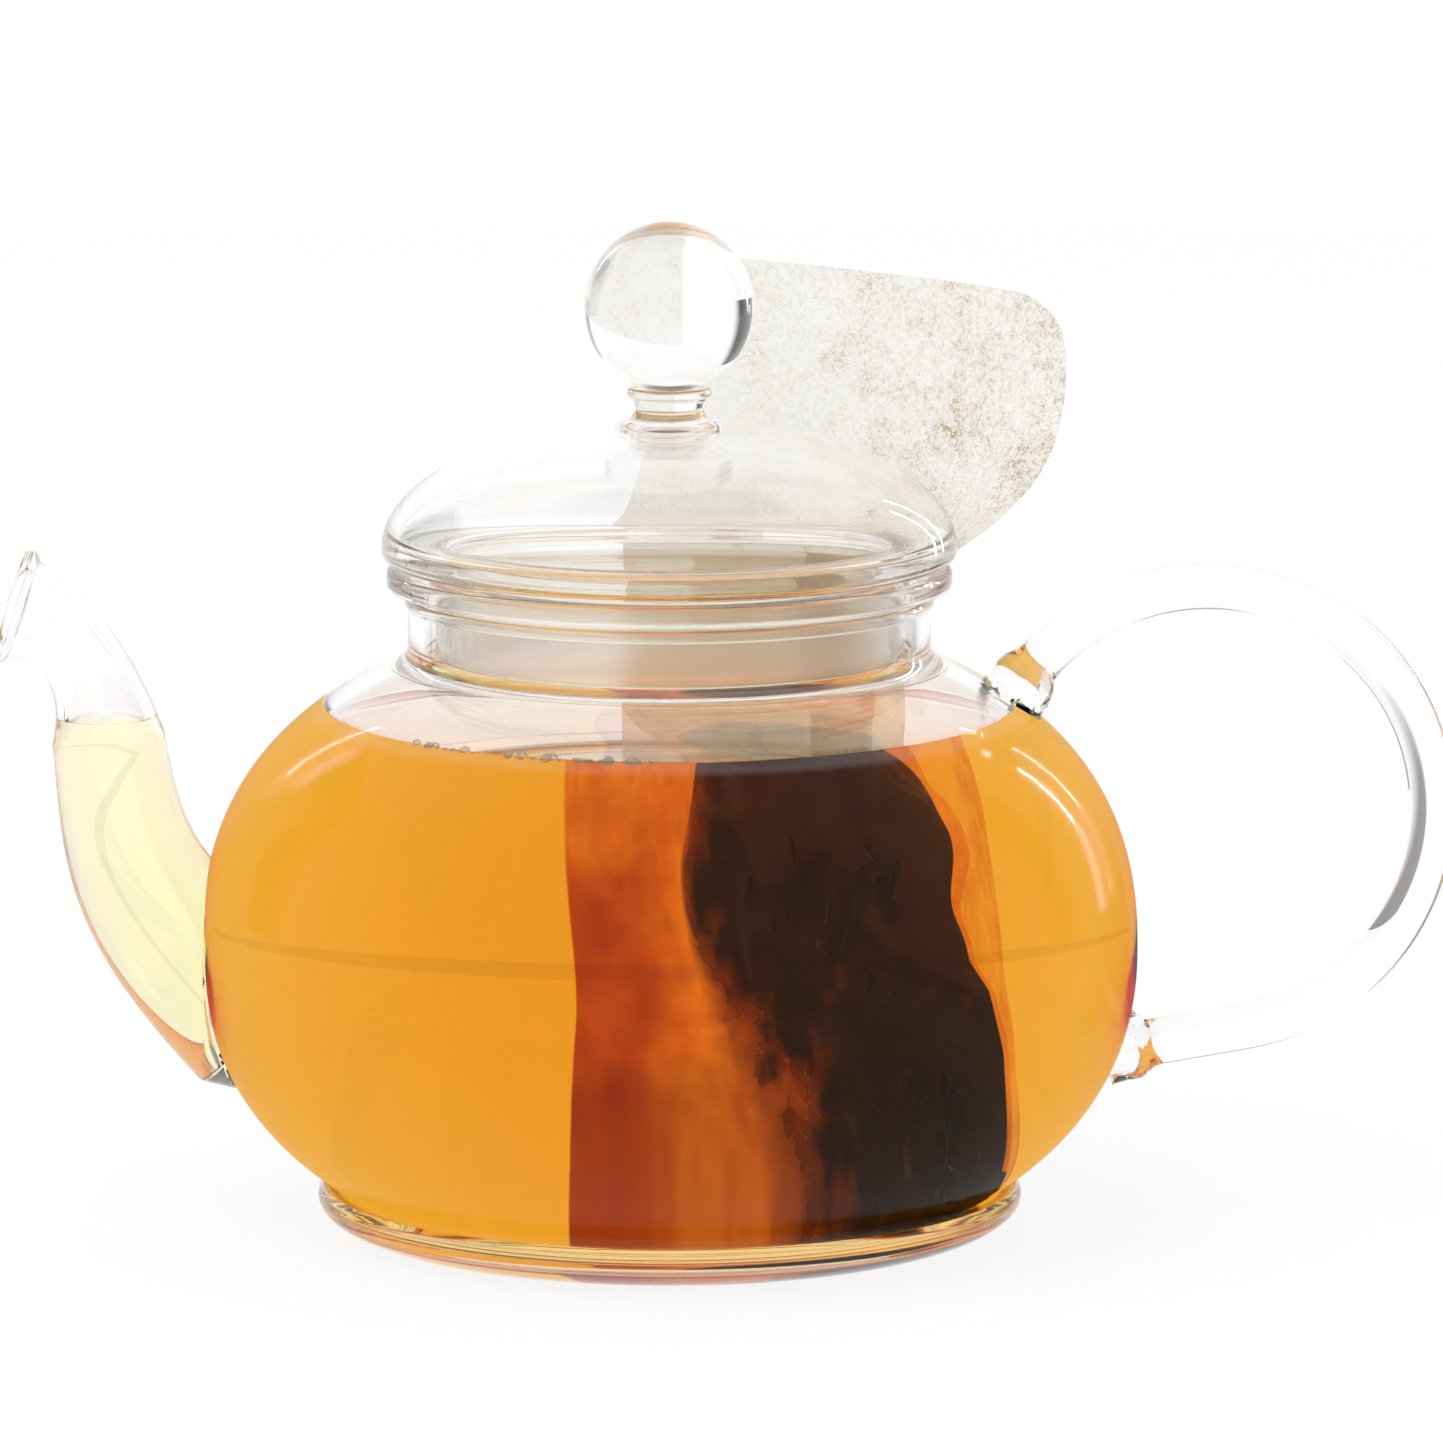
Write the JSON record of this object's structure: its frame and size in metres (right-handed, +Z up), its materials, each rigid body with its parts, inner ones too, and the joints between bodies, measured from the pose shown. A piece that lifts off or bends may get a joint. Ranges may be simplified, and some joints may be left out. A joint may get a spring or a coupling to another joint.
{
  "type": "glass teapot",
  "caption": "Round blown-glass teapot with a curved spout, a rod handle, a domed lid with a ball knob, and a paper filter bag held under the lid.",
  "frame": {"origin": "middle of the flat underside of the foot, on the bowl's axis", "axes": "+Z up along the bowl's axis, the spout towards -X, the handle towards +X"},
  "size_m": [0.1876, 0.12, 0.1302],
  "materials": {
    "pot_glass": "clear blown borosilicate glass",
    "lid_glass": "clear blown borosilicate glass, misted inside",
    "rod_glass": "clear solid glass rod and ball",
    "filter_paper": "unbleached filter paper with brown fibres",
    "wet_leaves": "wet dark tea leaves",
    "tea": "clear amber tea"
  },
  "bodies": {
    "pot": {"pot_bowl": "pot_glass", "spout": "pot_glass", "handle": "rod_glass"},
    "bag": {"filter_bag": "filter_paper", "tea_leaves": "wet_leaves"},
    "lid": {"lid_dome": "lid_glass", "lid_skirt": "lid_glass", "knob_collar": "rod_glass", "lid_knob": "rod_glass"}
  },
  "joints": [
    {"name": "bag_lift", "type": "slide", "parent": "pot", "child": "bag", "axis": [0, 0, 1], "range_m": [0, 0.09]},
    {"name": "lid_lift", "type": "slide", "parent": "bag", "child": "lid", "axis": [0, 0, 1], "range_m": [0, 0.06]}
  ]
}
